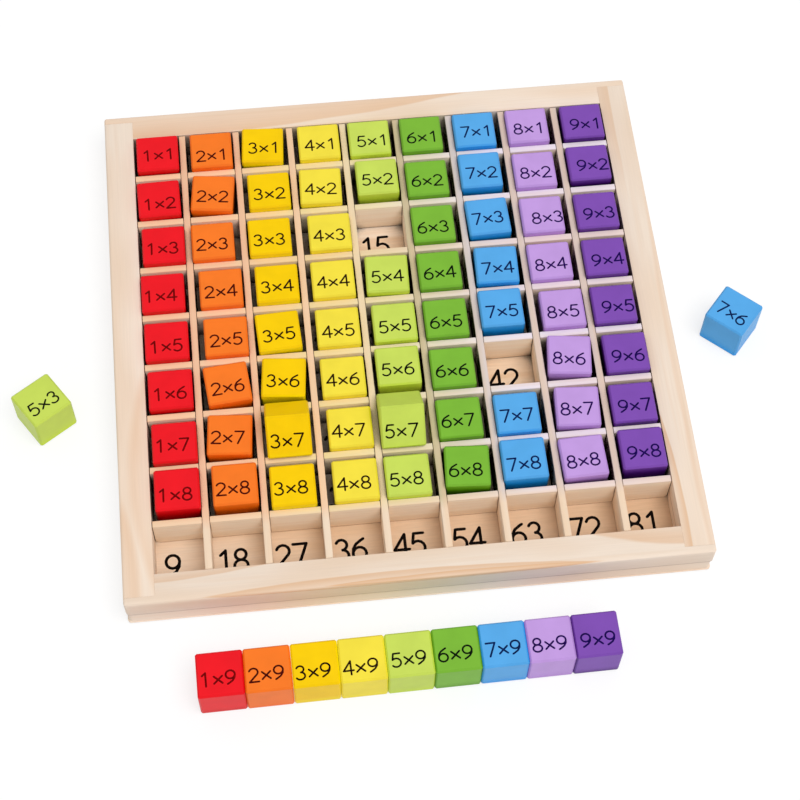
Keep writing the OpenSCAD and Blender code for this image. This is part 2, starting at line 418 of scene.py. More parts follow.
@dataclass(frozen=True)
class SlatWood(Finish):
    """Thin basswood slats, planed and bare, paler and plainer than the rails.

    Args:
        grain: The axis that the slats run along.
        painted_gap_shade: The painted shade in the gaps beside them.
        tones: Painted reflected colours of the cubes on their upper edges from left to right, each at its place in mm
            from the middle.
        side: Colour of their sides, painted lighter for the light that bounces into the cells.
        own: Colour of their upper edges in the front row, where no paint shines on them.
        own_edge: Distances behind the front row's end at which that colour is gone and at which it is whole, in mm.
        arris: Depths below the top at which the upper edge's colour ends and at which the side's is whole, in mm.
        tan: Colour of their streaks.
        joint_shade_tone: Colour of the painted lines of shade along their feet and crossings.
        foot_line: Heights over the panel at which the line along their feet is gone and at which it is whole, in mm.
        joint_line: Distances from a crossing slat at which the line beside it is gone and at which it is whole, in mm.
        thickness: Thickness of a slat, in mm.
        fibre: The fine straight fibre.
        streaks: Its darker streaks.
        each_slat: How one slat differs from the next.
    """

    grain: Grain
    painted_gap_shade: GapShade
    tones: tuple[tuple[float, str], ...]
    side: str
    own: str = "#F5DFC6"
    own_edge: tuple[float, float] = (1.0, -4.0)
    arris: tuple[float, float] = (0.3, 0.8)
    tan: str = "#F0C8A0"
    joint_shade_tone: str = "#8A5A36"
    foot_line: tuple[float, float] = (0.5, 0.3)
    joint_line: tuple[float, float] = (0.4, 0.15)
    thickness: float = 2.5
    fibre: Marks = Marks(16, 0.5, 3)
    streaks: Marks = Marks(60, 2.2, 2)
    each_slat: Marks = Marks(400, 26, 0)

    def look(self, on: Surface) -> dict[str, object]:
        """Work out the shader's sockets.

        Args:
            on: The slats' surface.

        Returns:
            Each socket's value or node.
        """
        # Bare basswood is matt, with hardly any figure. The eye sees slats that differ in tone from one end of the
        # board to the other with painted reflected colour of the cubes beside them, pale upper edges, tan sides painted
        # lighter for the light in the cells, thin brown lines of painted shade where they meet, and painted shade in
        # the gaps.
        fibre = self.fibre.laid(on, self.grain)
        tone = linear(self.tones[0][1])
        for (start, _), (stop, colour) in zip(self.tones, self.tones[1:]):
            drift = on.add("MapRange", {"Value": on.axes["X"], "From Min": start * MM, "From Max": stop * MM})
            tone = on.add("Mix", {"Factor": drift, "A": tone, "B": linear(colour)}, data_type="RGBA")
        in_front = on.add("MapRange", {
            "Value": on.axes["Y"], "From Min": (FRONT_ROW_END + self.own_edge[0]) * MM,
            "From Max": (FRONT_ROW_END + self.own_edge[1]) * MM,
        })
        below = on.add("MapRange", {
            "Value": on.axes["Z"], "From Min": (TRAY_TOP - self.arris[0]) * MM,
            "From Max": (TRAY_TOP - self.arris[1]) * MM,
        })
        streaks, slats = self.streaks.laid(on, self.grain), self.each_slat.laid(on, self.grain)
        both = on.add("Math", {0: streaks, 1: slats}, operation="ADD")
        marked = on.add("MapRange", {"Value": both, "From Min": 0.85, "From Max": 1.3, "To Max": 0.4})
        for share, colour in ((in_front, self.own), (below, self.side), (marked, self.tan),
                              (self._joint_shade_share(on, below), self.joint_shade_tone)):
            tone = on.add("Mix", {"Factor": share, "A": tone, "B": linear(colour)}, data_type="RGBA")
        fine = on.add("MapRange", {"Value": fibre, "From Min": 0.3, "From Max": 0.7, "To Min": 0.97, "To Max": 1.01})
        clean = on.add("VectorMath", {0: tone, "Scale": fine}, operation="SCALE")
        view = on.add("AmbientOcclusion", {"Distance": GAP_REACH}, samples=GAP_RAYS).outputs["AO"]
        sheen = on.add("MapRange", {
            "Value": view, "From Min": self.painted_gap_shade.full, "From Max": self.painted_gap_shade.clear, "To Max": 0.12,
        })
        relief = on.add("Bump", {"Height": fibre, "Strength": 0.25, "Distance": 0.08 * MM})
        return {"Base Color": self.painted_gap_shade.over(on, clean, view), "Roughness": 0.62, "Specular IOR Level": sheen,
                "Normal": relief}

    def _joint_shade_share(self, on: Surface, below: Node) -> Node:
        """Paint thin lines of shade along a slat's foot and beside each crossing. They are drawn wide enough to show.

        Args:
            on: The slats' surface.
            below: 1 on a slat's sides and 0 on its upper edge.

        Returns:
            The share of the line's colour at a point.
        """
        foot = on.add("MapRange", {
            "Value": on.axes["Z"], "From Min": (PANEL_TOP + self.foot_line[0]) * MM,
            "From Max": (PANEL_TOP + self.foot_line[1]) * MM, "To Max": 0.75,
        })
        from_middle = on.add("Math", {0: on.axes[self.grain.value], 1: PITCH / 2 * MM}, operation="PINGPONG")
        wall = (PITCH - self.thickness) / 2
        crossing = on.add("MapRange", {
            "Value": from_middle, "From Min": (wall - self.joint_line[0]) * MM,
            "From Max": (wall - self.joint_line[1]) * MM, "To Max": 0.45,
        })
        crossing = on.add("Math", {0: crossing, 1: below}, operation="MULTIPLY")
        return on.add("Math", {0: foot, 1: crossing}, operation="MAXIMUM")


@dataclass(frozen=True)
class ThinPlywood(Finish):
    """Thin plywood with a sanded face.

    Args:
        name: Name of the material.
        front_streak: Where the brown streak along the front edge is whole and where it ends, in mm from the middle
            of the board.
        growth: Half the length along which it grows stronger from left to right, in mm.
        pale: Colour of the sheet.
        tan: Colour of the wide streaks in it.
        brown: Colour of the streak along the front edge.
        streaks: The wide streaks.
        pores: The short pores.
        painted_gap_shade: The painted shade beside the cubes.
    """

    name: str = "thin_plywood"
    front_streak: tuple[float, float] = (-76.0, -68.0)
    growth: float = 90.0
    pale: str = "#FCEAD6"
    tan: str = "#EBC9A5"
    brown: str = "#DEBB99"
    streaks: Marks = Marks(90, 7, 3)
    pores: Marks = Marks(9, 0.6, 2)
    painted_gap_shade: GapShade = GapShade(GAP_SHADE_TONE, share=0.98, full=0.22, clear=0.46, limits=(NOT_IN_FRONT_ROW,))

    def look(self, on: Surface) -> dict[str, object]:
        """Work out the shader's sockets.

        Args:
            on: The panel's surface.

        Returns:
            Each socket's value or node.
        """
        # Sanded plywood is matt and tan. The eye sees faint wide streaks of the peeled sheet, short dark pores, and
        # painted shade in the gaps beside the cubes.
        streak = on.add("MapRange", {"Value": self.streaks.laid(on), "From Min": 0.35, "From Max": 0.68})
        growing = on.add("MapRange", {
            "Value": on.axes["X"], "From Min": -self.growth * MM, "From Max": self.growth * MM, "To Min": 0.4,
        })
        front = on.add("MapRange", {
            "Value": on.axes["Y"], "From Min": self.front_streak[0] * MM, "From Max": self.front_streak[1] * MM,
            "To Min": 1.0, "To Max": 0.0,
        }, interpolation_type="SMOOTHSTEP")
        front = on.add("Math", {0: front, 1: growing}, operation="MULTIPLY")
        sheet = linear(self.pale)
        for share, colour in ((streak, self.tan), (front, self.brown)):
            sheet = on.add("Mix", {"Factor": share, "A": sheet, "B": linear(colour)}, data_type="RGBA")
        pore = self.pores.laid(on)
        fine = on.add("MapRange", {"Value": pore, "From Min": 0.3, "From Max": 0.7, "To Min": 0.94, "To Max": 1.02})
        clean = on.add("VectorMath", {0: sheet, "Scale": fine}, operation="SCALE")
        view = on.add("AmbientOcclusion", {"Distance": GAP_REACH}, samples=GAP_RAYS).outputs["AO"]
        relief = on.add("Bump", {"Height": pore, "Strength": 0.2, "Distance": 0.05 * MM})
        return {"Base Color": self.painted_gap_shade.over(on, clean, view), "Roughness": 0.7, "Specular IOR Level": 0.1,
                "Normal": relief}


@dataclass(frozen=True)
class PaintedBeech(Finish):
    """A beech cube sprayed with satin paint.

    Args:
        colour: The paint's colour.
        facing: Its purer colour, painted as shade where it faces a wall a few millimetres away.
        gathering: Share of a deeper colour where the paint gathers along an edge.
        clouds: Patches where the coat is thicker.
        peel: The fine relief of sprayed paint.
    """

    colour: str
    facing: str
    gathering: float = 0.12
    clouds: Marks = Marks(9, 9, 2)
    peel: Marks = Marks(0.9, 0.9, 1)

    def look(self, on: Surface) -> dict[str, object]:
        """Work out the shader's sockets.

        Args:
            on: The cubes' surface.

        Returns:
            Each socket's value or node.
        """
        # Sprayed satin paint is even and strong. The eye sees faint clouds, a soft sheen with a fine relief, a deeper
        # line where the paint gathers along an edge, and a purer and darker colour painted as shade where it faces
        # another cube, darkest deep in the gaps.
        own, facing = linear(self.colour), linear(self.facing)
        edge = on.add("Attribute", attribute_name="edge", attribute_type="GEOMETRY").outputs["Fac"]
        gathered = on.add("Math", {0: edge, 1: self.gathering}, operation="MULTIPLY")
        deeper = deepened(own, power=1.4, level=0.7)
        edged = on.add("Mix", {"Factor": gathered, "A": own, "B": deeper}, data_type="RGBA")
        even = on.add("MapRange", {
            "Value": self.clouds.laid(on), "From Min": 0.3, "From Max": 0.7, "To Min": 0.95, "To Max": 1.03,
        })
        clean = on.add("VectorMath", {0: edged, "Scale": even}, operation="SCALE")
        view = on.add("AmbientOcclusion", {"Distance": GAP_REACH}, samples=GAP_RAYS).outputs["AO"]
        # Painted shade: the purer colour near a wall a few millimetres away, and a deep dark tone in the depth of a
        # gap.
        purer = GapShade(facing, share=0.9, full=0.6, clear=0.96).over(on, clean, view)
        hollow = deepened(facing, power=1.2, level=0.12)
        hidden = GapShade(hollow, share=0.95, full=0.05, clear=0.34).over(on, purer, view)
        relief = on.add("Bump", {"Height": self.peel.laid(on), "Strength": 0.15, "Distance": 0.03 * MM})
        return {"Base Color": hidden, "Roughness": 0.38, "Specular IOR Level": 0.11, "Normal": relief}


@dataclass(frozen=True)
class PadInk(Finish):
    """Pad-printed ink.

    Args:
        colour: The ink's colour as it looks on what it is printed on.
        film: Patches where the film is thicker.
    """

    colour: str
    film: Marks = Marks(1.4, 1.4, 2)

    def look(self, on: Surface) -> dict[str, object]:
        """Work out the shader's sockets.

        Args:
            on: The print's surface.

        Returns:
            Each socket's value or node.
        """
        # Pad-printed ink is a thin matt film. The eye sees a near black with a hint of the colour below, stronger
        # where the film is thin.
        cover = on.add("MapRange", {
            "Value": self.film.laid(on), "From Min": 0.35, "From Max": 0.75, "To Min": 0.8, "To Max": 1.7,
        })
        ink = on.add("VectorMath", {0: linear(self.colour)[:3], "Scale": cover}, operation="SCALE")
        return {"Base Color": ink, "Roughness": 0.6, "Specular IOR Level": 0.06}


class Paint(Enum):
    """The nine paints in the order of the columns: slot, paint, its painted shade where it faces a wall, and ink on it.
    """

    RED = ("red_cube", "#F51824", "#DC0004", "#6E0000")
    ORANGE = ("orange_cube", "#FF7E27", "#FF7204", "#480200")
    AMBER = ("amber_cube", "#FFD200", "#FFEA00", "#1E0500")
    YELLOW = ("yellow_cube", "#FBE644", "#FFEC2C", "#200C00")
    LIME = ("lime_cube", "#CDE25F", "#D0E838", "#020300")
    GREEN = ("green_cube", "#7FBC3A", "#62A000", "#000B01")
    BLUE = ("blue_cube", "#5AAEEE", "#009CF2", "#011A52")
    LILAC = ("lilac_cube", "#C79FE5", "#BE8EDE", "#1E0050")
    PURPLE = ("purple_cube", "#8250B5", "#480078", "#150050")

    @property
    def slot(self) -> str:
        """The record's material slot."""
        return self.value[0]

    def coat(self) -> PaintedBeech:
        """The cube's finish."""
        return PaintedBeech(f"painted_beech_{self.name.lower()}", self.value[1], self.value[2])

    def ink(self) -> PadInk:
        """The print's finish."""
        return PadInk(f"pad_ink_on_{self.name.lower()}", self.value[3])


# Points nearer than this are one, in metres.
TOUCHING = 1e-6


def deselect_all() -> None:
    """Leave object mode with nothing selected."""
    if bpy.context.object and bpy.context.object.mode != "OBJECT":
        bpy.ops.object.mode_set(mode="OBJECT")
    bpy.ops.object.select_all(action="DESELECT")


def make_active(*pieces: Object) -> None:
    """Select some objects alone and make the first of them the active one.

    Args:
        *pieces: The objects.
    """
    deselect_all()
    for piece in pieces:
        piece.select_set(True)
    bpy.context.view_layer.objects.active = pieces[0]


def edit_whole(piece: Object) -> None:
    """Open one object alone in edit mode, with its whole mesh selected.

    Args:
        piece: The object.
    """
    make_active(piece)
    bpy.ops.object.mode_set(mode="EDIT")
    bpy.ops.mesh.select_all(action="SELECT")


def new_object(name: str, data: bpy.types.ID) -> Object:
    """Put a mesh, curve or camera into the scene.

    Args:
        name: The name of the object.
        data: The mesh, curve or camera.

    Returns:
        The object, at the origin.
    """
    made = bpy.data.objects.new(name, data)
    bpy.context.scene.collection.objects.link(made)
    return made


def join_meshes(name: str, meshes: list[Mesh], finish: Material) -> Object:
    """Join meshes that already hold their places into one piece at the origin.

    Args:
        name: The name of the piece.
        meshes: One mesh for each part of it.
        finish: Its material.

    Returns:
        The piece.
    """
    parts = [new_object(f"{name}_{i}", mesh) for i, mesh in enumerate(meshes)]
    make_active(*parts)
    if len(parts) > 1:
        bpy.ops.object.join()
    piece = parts[0]
    piece.name = piece.data.name = name
    piece.data.materials.clear()
    piece.data.materials.append(finish)
    return piece


@dataclass(frozen=True)
class Arc:
    """A stretch of an ellipse in a glyph, from one angle to another, in degrees, anticlockwise if it grows."""

    x: float
    y: float
    radius_x: float
    radius_y: float
    start: float
    end: float

    def points(self, step: float = 24.0) -> list[tuple[float, float]]:
        """Walk along the arc.

        Args:
            step: Degrees from one point to the next, about.

        Returns:
            The points on the way.
        """
        count = max(2, round(abs(self.end - self.start) / step))
        angles = (math.radians(self.start + (self.end - self.start) * i / count) for i in range(count + 1))
        return [(self.x + self.radius_x * math.cos(a), self.y + self.radius_y * math.sin(a)) for a in angles]


Stroke = tuple[Arc | tuple[float, float], ...]

# Each character is drawn by strokes of one width on a field one high; a sharp corner ends a stroke.
CHARACTERS: dict[str, tuple[Stroke, ...]] = {
    "0": ((Arc(0.29, 0.5, 0.27, 0.5, 90, 450),),),
    "1": (((0.16, 0.79), (0.36, 0.98)), ((0.37, 1.0), (0.37, 0.0))),
    "2": ((Arc(0.28, 0.72, 0.26, 0.28, 160, -35), (0.02, 0.0)), ((0.02, 0.0), (0.58, 0.0))),
    "3": ((Arc(0.26, 0.76, 0.22, 0.24, 155, -80),), (Arc(0.26, 0.27, 0.27, 0.27, 82, -150),)),
    "4": (((0.44, 1.0), (0.0, 0.3)), ((0.0, 0.3), (0.6, 0.3)), ((0.44, 1.0), (0.44, 0.0))),
    "5": (((0.52, 1.0), (0.14, 1.0)), ((0.14, 1.0), (0.07, 0.56)), (Arc(0.27, 0.32, 0.28, 0.32, 135, -140),)),
    "6": ((Arc(0.29, 0.3, 0.27, 0.3, 0, 360),), ((0.47, 0.98), Arc(0.66, 0.36, 0.64, 0.62, 118, 185),)),
    "7": (((0.02, 1.0), (0.56, 1.0)), ((0.56, 1.0), (0.2, 0.0))),
    "8": ((Arc(0.29, 0.76, 0.22, 0.24, -90, 270),), (Arc(0.29, 0.26, 0.27, 0.26, 90, 450),)),
    "9": ((Arc(0.29, 0.7, 0.27, 0.3, 0, 360),), ((0.11, 0.02), Arc(-0.08, 0.64, 0.64, 0.62, -62, 5),)),
    "x": (((0.05, 0.14), (0.54, 0.67)), ((0.05, 0.67), (0.54, 0.14))),
}

# The points that round off a stroke's end: how far out each lies and how thick the stroke is there, as shares of
# half its width.
ROUND_END = ((0.7, 0.71), (0.98, 0.2))


@dataclass
class Lettering:
    """Numbers printed with one width of stroke and round ends.

    Args:
        height: Height of a digit, in mm.
        stroke: Width of a stroke, in mm.
        film: Height of the ink over the face, in mm.
        widen: How much wider than drawn a digit is.
        drawn_width: Width of a digit as drawn, as a share of the height.
        advance: From one digit to the next, as a share of the height.
        cross_advance: From a digit to the cross and from the cross to a digit, as a share of the height.
        lead: How much further from the cross a 1 in front of it stands, as a share of the height.
        made: The characters that are modelled already.
    """

    height: float
    stroke: float
    film: float = 0.03
    widen: float = 1.06
    drawn_width: float = 0.58
    advance: float = 0.70
    cross_advance: float = 0.78
    lead: float = 0.09
    made: dict[str, Mesh] = field(default_factory=dict)

    def text(self, words: str) -> list[Mesh]:
        """Draw a line of characters, centred on the origin in the plane z = 0.

        Args:
            words: The characters, each a key of CHARACTERS.

        Returns:
            One mesh for each character, with its place in the mesh.
        """
        steps = [self.cross_advance if "x" in pair else self.advance for pair in zip(words, words[1:])]
        at = -(sum(steps) + self.drawn_width * self.widen) / 2
        if words.startswith("1x"):
            at -= self.lead
            steps[0] += self.lead
        meshes = []
        for character, step in zip(words, [*steps, 0.0]):
            mesh = self._character(character).copy()
            mesh.transform(Matrix.Translation((at * self.height * MM, -0.5 * self.height * MM, 0)))
            meshes.append(mesh)
            at += step
        return meshes

    def _character(self, character: str) -> Mesh:
        """Model a character once. Later calls give the same mesh.

        Args:
            character: A key of CHARACTERS.

        Returns:
            Its mesh, with the lower left corner of its field at the origin.
        """
        if character not in self.made:
            curve = bpy.data.curves.new(f"character_{character}", "CURVE")
            curve.dimensions = "3D"
            curve.bevel_depth = self.stroke / 2 * MM
            curve.bevel_resolution = 0
            curve.use_fill_caps = True
            for stroke in CHARACTERS[character]:
                self._add_stroke(curve, stroke)
            drawn = new_object(f"character_{character}", curve)
            make_active(drawn)
            bpy.ops.object.convert(target="MESH")
            flat = self.film / (self.stroke / 2)
            edit_whole(drawn)
            bpy.ops.transform.resize(value=(1, 1, flat), center_override=(0, 0, 0))
            bpy.ops.mesh.normals_make_consistent(inside=False)
            bpy.ops.object.mode_set(mode="OBJECT")
            bpy.ops.object.shade_smooth()
            self.made[character] = drawn.data
            bpy.data.objects.remove(drawn)
        return self.made[character]

    def _add_stroke(self, curve: Curve, stroke: Stroke) -> None:
        """Add one stroke, with a round end at each end unless it closes on itself.

        Args:
            curve: The curve that it is added to.
            stroke: Its corners and arcs.
        """
        points: list[tuple[float, float]] = []
        for element in stroke:
            points += element.points() if isinstance(element, Arc) else [element]
        path = [Vector((x * self.widen, y, 0)) * self.height * MM for x, y in points]
        radii = [1.0] * len(path)
        start, stop = path[0], path[-1]
        closed = (start - stop).length < TOUCHING
        if closed:
            path, radii = path[:-1], radii[:-1]
        else:
            half = self.stroke / 2 * MM
            first = (start - path[1]).normalized() * half
            last = (stop - path[-2]).normalized() * half
            for out, thickness in ROUND_END:
                path = [start + first * out, *path, stop + last * out]
                radii = [thickness, *radii, thickness]
        spline = curve.splines.new("POLY")
        spline.points.add(len(path) - 1)
        for point, at, radius in zip(spline.points, path, radii):
            point.co = (*at, 1)
            point.radius = radius
        spline.use_cyclic_u = closed


@dataclass
class EasedTimber:
    """A piece of timber as it comes from the bench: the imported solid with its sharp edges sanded.

    Args:
        ease: How far from an edge the sanding starts, in mm.
        segments: Facets across an edge.
        sharp: Edges that turn by more degrees than this are sanded.
        flat: Facets that turn by fewer degrees than this become one.
        smooth: Edges that turn by fewer degrees than this shade smoothly.
    """

    ease: float = 0.22
    segments: int = 2
    sharp: float = 50.0
    flat: float = 1.0
    smooth: float = 35.0

    def build(self, node: str, finish: Material, slot: str) -> Object:
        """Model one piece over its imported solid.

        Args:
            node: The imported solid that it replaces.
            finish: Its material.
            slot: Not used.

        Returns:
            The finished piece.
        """
        piece = new_object(f"eased_{node}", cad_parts[node].data.copy())
        edit_whole(piece)
        bpy.ops.mesh.remove_doubles(threshold=TOUCHING)
        bpy.ops.mesh.dissolve_limited(angle_limit=math.radians(self.flat))
        bpy.ops.object.mode_set(mode="OBJECT")
        eased = piece.modifiers.new("sanding", "BEVEL")
        eased.width = self.ease * MM
        eased.segments = self.segments
        eased.limit_method = "ANGLE"
        eased.angle_limit = math.radians(self.sharp)
        bpy.ops.object.modifier_apply(modifier=eased.name)
        bpy.ops.object.shade_smooth_by_angle(angle=math.radians(self.smooth))
        piece.data.materials.clear()
        piece.data.materials.append(finish)
        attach(piece, "root")
        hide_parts(node)
        return piece


@dataclass
class Tray:
    """The wooden tray: four rails, a panel and sixteen dividers.

    Args:
        timber: How its pieces are sanded.
    """

    timber: EasedTimber = field(default_factory=EasedTimber)

    def build(self) -> list[Object]:
        """Model and dress every piece of the tray."""
        return [*self._rails(), *self._dividers(), self._panel()]

    def _rails(self) -> list[Object]:
        """Make the four rails, each with the figure that it shows on top.

        Returns:
            The rails.
        """
        finishes = {
            "rail_front": PlanedPine("planed_pine_front", Grain.X, -1, (
                Flame(peak=-8, reach=77, width=4.4, from_outside=True, strength=0.7, fade=4),
                Flame(peak=12, reach=66, width=2.3, from_outside=True, strength=0.95, fade=2.5),
                Flame(peak=-100, reach=48, width=3.6, from_outside=False, strength=0.55, fade=4),
                Flame(peak=106, reach=48, width=8, from_outside=False, strength=0.6, fade=10, edge=1.5),
            )),
            "rail_back": PlanedPine("planed_pine_back", Grain.X, 1, (
                Flame(peak=-75, reach=121, width=11.4, from_outside=True, strength=0.6, fade=16, edge=1.0),
                Flame(peak=20, reach=75, width=1.6, from_outside=False, strength=0.25, fade=3, edge=1.0),
            )),
            "rail_left": PlanedPine("planed_pine_left", Grain.Y, -1, (
                Flame(peak=-55, reach=48, width=9, from_outside=False, strength=0.5, fade=9, edge=4),
                Flame(peak=-99, reach=42, width=8, from_outside=True, strength=0.55, fade=9, edge=4),
            )),
            "rail_right": PlanedPine("planed_pine_right", Grain.Y, 1, (
                Flame(peak=-88, reach=42, width=3.4, from_outside=False, strength=0.75, fade=3.2),
                Flame(peak=-50, reach=130, width=3.8, from_outside=True, strength=0.35, fade=4, edge=1.5),
                Flame(peak=104, reach=60, width=4.4, from_outside=False, strength=0.5, fade=9, blunt=True),
            )),
        }
        return [self.timber.build(node, finish.material(), "pine") for node, finish in finishes.items()]

    def _dividers(self) -> list[Object]:
        """Make the dividers of both directions.

        Returns:
            The dividers, in pairs of one from each direction.
        """
        # Painted light: tones carry the cubes' colour reflected onto the slats, side is painted lighter for the light
        # that bounces into the cells, and dust is painted shade in the gaps.
        across = SlatWood(
            "basswood_across", Grain.X, side="#FFEDD6",
            tones=((-58, "#FCD5AE"), (-30, "#F6E0A6"), (0, "#F4E3BC"), (45, "#F4E9F0")),
            painted_gap_shade=GapShade(GAP_SHADE_TONE, share=0.98, full=0.2, clear=0.44, limits=(("Z", 14.5, 11.5), NOT_IN_FRONT_ROW)))
        upright = SlatWood(
            "basswood_upright", Grain.Y, side="#FFF2E0",
            tones=((-40, "#F6CAA8"), (-12, "#F8E2BE"), (9, "#D2C4A0"), (31, "#E2D4CE")),
            painted_gap_shade=GapShade(GAP_SHADE_TONE, share=1.0, full=0.38, clear=0.52, limits=(("Z", 16.0, 15.7), NOT_IN_FRONT_ROW)))
        finishes = {"column_divider": upright.material(), "row_divider": across.material()}
        return [self.timber.build(f"{node}_{i}", finish, "slat_wood")
                for i in range(1, CELLS) for node, finish in finishes.items()]

    def _panel(self) -> Object:
        """Make the panel, which shows in the empty cells and from below."""
        return self.timber.build("base_panel", ThinPlywood().material(), "plywood")


@dataclass
class Products:
    """The products printed on the panel, one in each cell.

    Args:
        pitch: Distance between two numbers, in mm. The print is a little wider than the grid.
        shift: Place of the middle number from the middle of the tray, in mm.
        lettering: The print.
    """

    pitch: float = 21.1
    shift: tuple[float, float] = (-2.3, 0.1)
    lettering: Lettering = field(default_factory=lambda: Lettering(height=8.4, stroke=1.12, advance=0.72))

    def build(self) -> Object:
        """Print all the products as one piece.

        Returns:
            The print.
        """
        meshes = []
        for column in range(1, CELLS + 1):
            for row in range(1, CELLS + 1):
                x = self.shift[0] + (column - MIDDLE_CELL) * self.pitch
                y = self.shift[1] - (row - MIDDLE_CELL) * self.pitch
                for mesh in self.lettering.text(str(column * row)):
                    mesh.transform(Matrix.Translation(Vector((x, y, PANEL_TOP)) * MM))
                    meshes.append(mesh)
        piece = join_meshes("printed_products", meshes, PadInk("pad_ink_on_panel", "#060201").material())
        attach(piece, "root")
        return piece


@dataclass
class CubeMaker:
    """Makes the rounded cube that every painted cube is a copy of.

    Args:
        rounding: Radius of its edges, in mm.
        profile: Shape of the rounding, from 0 for hollow over 0.5 for round to 1 for square.
        margin: Width of the strip beside an edge where the paint changes, in mm.
        segments: Facets across an edge.
        smooth: Edges that turn by fewer degrees than this shade smoothly.
    """

    rounding: float = 0.6
    profile: float = 0.28
    margin: float = 0.25
    segments: int = 2
    smooth: float = 30.0

    def build(self) -> Mesh:
        """Model the cube at the origin and mark how near each point is to an edge.

        Returns:
            Its mesh.
        """
        deselect_all()
        bpy.ops.mesh.primitive_cube_add(size=CUBE_EDGE * MM, location=(0, 0, 0))
        cube = bpy.context.object
        edit_whole(cube)
        bpy.ops.mesh.bevel(offset=self.rounding * MM, offset_type="OFFSET", segments=self.segments,
                           profile=self.profile, affect="EDGES")
        bpy.ops.mesh.select_mode(type="FACE")
        bpy.ops.mesh.select_all(action="DESELECT")
        bpy.ops.object.mode_set(mode="OBJECT")
        # Only the six faces between the rounded edges lie as far out as this.
        nearly_out = (CUBE_EDGE / 2 - 0.01) * MM
        for face in cube.data.polygons:
            face.select = max(abs(c) for c in face.center) > nearly_out
        bpy.ops.object.mode_set(mode="EDIT")
        bpy.ops.mesh.inset(thickness=self.margin * MM, use_individual=True)
        bpy.ops.object.mode_set(mode="OBJECT")
        bpy.ops.object.shade_smooth_by_angle(angle=math.radians(self.smooth))
        mesh = cube.data
        near = mesh.attributes.new("edge", "FLOAT", "POINT")
        inner = (CUBE_EDGE / 2 - self.rounding - self.margin / 2) * MM
        for vertex, value in zip(mesh.vertices, near.data):
            second_farthest = sorted(abs(c) for c in vertex.co)[1]
            value.value = 1.0 if second_farthest > inner else 0.0
        bpy.data.objects.remove(cube)
        return mesh


# Prints that lie clearly off the rest: the two factors, then mm to the right of the face's middle and above it.
SLIPPED: dict[tuple[int, int], tuple[float, float]] = {
    (8, 3): (1.8, -1.7), (9, 5): (1.4, -1.5), (9, 2): (1.3, -1.4), (5, 1): (1.0, -1.7),
    (1, 4): (-0.9, -1.6), (1, 1): (0.4, -1.0), (2, 1): (0.1, -2.7), (1, 2): (0.2, -2.5),
    (7, 1): (0.6, -1.1), (7, 3): (-0.2, -1.0), (1, 5): (-0.2, -2.4), (3, 8): (-0.8, -1.2),
    (1, 8): (-0.7, -2.2), (7, 8): (-0.4, -2.2), (3, 9): (-0.9, -2.7), (4, 9): (-0.9, -2.8),
}


@dataclass(frozen=True)
class PrintingJig:
    """Holds the cubes while they are printed. The print sits below the middle and drifts a little from row to row.

    Args:
        row_drift: How far to the right the print of each row lies, in mm.
        column_drift: The same for each column, in mm.
        drop: How far below the middle the print of each row lies, in mm.
        play: How far a cube may lie from that, in mm.
        turn: How far it may be turned, in degrees.
    """

    row_drift: tuple[float, ...] = (0.4, 0.15, -0.1, -0.15, -0.15, -0.15, -0.5, -0.7, -0.7)
    column_drift: tuple[float, ...] = (-0.1, 0.0, 0.0, 0.0, 0.0, -0.1, 0.25, 0.1, 0.8)
    drop: tuple[float, ...] = (1.7, 1.6, 1.8, 1.6, 1.9, 1.7, 1.4, 1.75, 1.8)
    play: float = 0.15
    turn: float = 1.2

    def place(self, column: int, row: int) -> Matrix:
        """Place a print on its cube, as the jig set it or where this cube slipped in the jig.

        Args:
            column: The first factor.
            row: The second factor.

        Returns:
            The place of the print's middle on a cube at the origin.
        """
        # Two waves that don't repeat over the board stand in for chance.
        sideways, upwards = math.sin(column * 12.9 + row * 7.7), math.cos(column * 5.3 + row * 9.1)
        x = self.row_drift[row - 1] + self.column_drift[column - 1] + self.play * sideways
        y = -self.drop[row - 1] + self.play * upwards
        x, y = SLIPPED.get((column, row), (x, y))
        turn = Matrix.Rotation(math.radians(self.turn) * sideways, 4, "Z")
        return Matrix.Translation((x * MM, y * MM, CUBE_EDGE / 2 * MM)) @ turn


